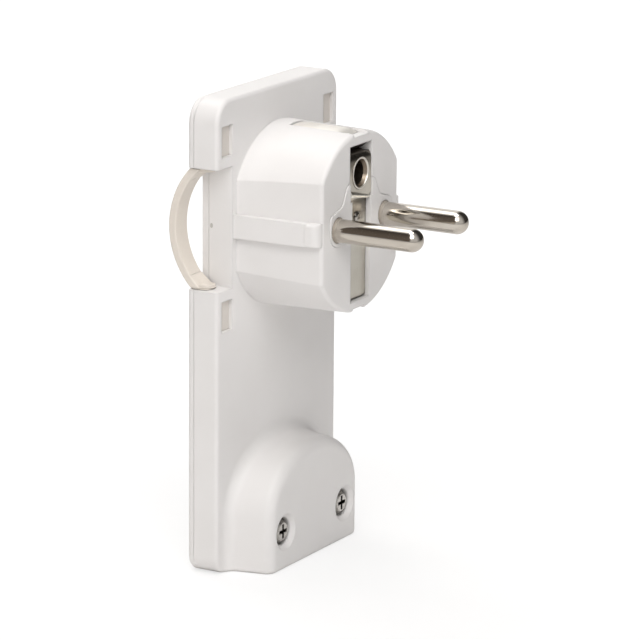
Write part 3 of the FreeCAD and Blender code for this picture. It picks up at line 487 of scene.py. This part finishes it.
# the camera sees the floor glow, fully so away from the plug, so that only the contact shadow is left
spot = ground.add("TexCoord").outputs["Object"]
flat = ground.add("VectorMath", {"operation": "MULTIPLY"}, i0=spot, i1=(1.0, 1.0, 0.0)).outputs[0]
away = ground.add("VectorMath", {"operation": "LENGTH"}, i0=flat).outputs["Value"]
glowing = ground.span(away, studio["glowStart"], studio["glowEnd"], studio["glowNear"], studio["glowFar"])
viewed = ground.add("LightPath").outputs["Is Camera Ray"]
share = ground.add("Math", {"operation": "MULTIPLY"}, i0=glowing, i1=viewed).outputs[0]
lit = ground.add("BsdfDiffuse", Color=studio["floorTone"]).outputs[0]
glow = ground.add("Emission", Color=studio["glowTone"], Strength=studio["glowStrength"]).outputs[0]
mixed = ground.add("MixShader", i0=share, i1=lit, i2=glow).outputs[0]
ground.add("OutputMaterial", Surface=mixed)
floorMesh.materials.append(floorLook)

world = bpy.data.worlds.new("studioWorld")
scene.world = world
sky = Tree(world)
# surround: pale at the left and behind, dark at the right front, with a dark patch above and behind at the
# left; the patch has one centre for soft light and one for mirrored rays, where it is the pins' dark band
toward = sky.add("TexCoord").outputs["Generated"]
sideways = sky.along(toward, "X", studio["rightStart"], studio["rightEnd"])
frontTone = sky.ramp(sideways, [(0.0, studio["skyLeft"]), (1.0, studio["skyRight"])])
front = sky.add("Background", Color=frontTone).outputs[0]
rear = sky.add("Background", Color=(*studio["skyRear"], 1.0)).outputs[0]
behind = sky.along(toward, "Y", studio["rearStart"], studio["rearEnd"])
bright = sky.add("MixShader", i0=behind, i1=front, i2=rear).outputs[0]
rays = sky.add("LightPath").outputs
gloom = sky.add(
    "Mix", {"data_type": "VECTOR"}, i0=rays["Is Glossy Ray"],
    i4=Vector(studio["gloomToward"]).normalized(), i5=Vector(studio["gloomMirrored"]).normalized(),
).outputs[1]
near = sky.add("VectorMath", {"operation": "DOT_PRODUCT"}, i0=toward, i1=gloom).outputs["Value"]
dim = sky.span(near, studio["gloomEdge"], studio["gloomCore"])
fade = sky.along(toward, "X", studio["gloomStart"], studio["gloomEnd"])
gloomTone = sky.ramp(fade, [(0.0, studio["gloomLow"]), (1.0, studio["gloomHigh"])])
dark = sky.add("Background", Color=gloomTone).outputs[0]
felt = sky.add("MixShader", i0=dim, i1=bright, i2=dark).outputs[0]
seen = sky.add("Background", Color=studio["glowTone"]).outputs[0]
pick = sky.add("MixShader", i0=rays["Is Camera Ray"], i1=felt, i2=seen).outputs[0]
sky.add("OutputWorld", Surface=pick)

for name, (source, distance, width, tall, watts, colour) in panels.items():
    light = bpy.data.lights.new(name, "AREA")
    light.shape = "RECTANGLE"
    light.size, light.size_y = width, tall
    light.energy = watts
    light.color = colour
    lamp = bpy.data.objects.new(name, light)
    direction = Vector(source).normalized()
    lamp.location = aim + direction * distance
    lamp.rotation_euler = direction.to_track_quat("Z", "Y").to_euler()
    scene.collection.objects.link(lamp)
print("studio set")

# Camera at the photograph's angle, fitted to its edges; angles in degrees, sensor and lens in millimetres
lensing = {
    "azimuth": -60.155, "elevation": 13.943, "roll": 0.446, "distance": 0.8315, "sensor": 36.0,
    "lens": 229.18, "shiftX": 0.0049, "shiftY": -0.01336, "clipNear": 0.05, "clipFar": 20.0,
}
azimuth, elevation, roll = (math.radians(lensing[key]) for key in ("azimuth", "elevation", "roll"))
back = Vector((
    math.sin(azimuth) * math.cos(elevation), -math.cos(azimuth) * math.cos(elevation), math.sin(elevation),
))
right = Vector((math.cos(azimuth), math.sin(azimuth), 0.0))
up = back.cross(right)
across = math.cos(roll) * right + math.sin(roll) * up
above = -math.sin(roll) * right + math.cos(roll) * up
cameraData = bpy.data.cameras.new("camera")
cameraData.sensor_width = lensing["sensor"]
cameraData.lens = lensing["lens"]
cameraData.shift_x, cameraData.shift_y = lensing["shiftX"], lensing["shiftY"]
cameraData.clip_start, cameraData.clip_end = lensing["clipNear"], lensing["clipFar"]
camera = bpy.data.objects.new("camera", cameraData)
turn = Matrix((across, above, back)).transposed().to_4x4()
camera.matrix_world = Matrix.Translation(aim + back * lensing["distance"]) @ turn
scene.collection.objects.link(camera)
scene.camera = camera
print("camera set")
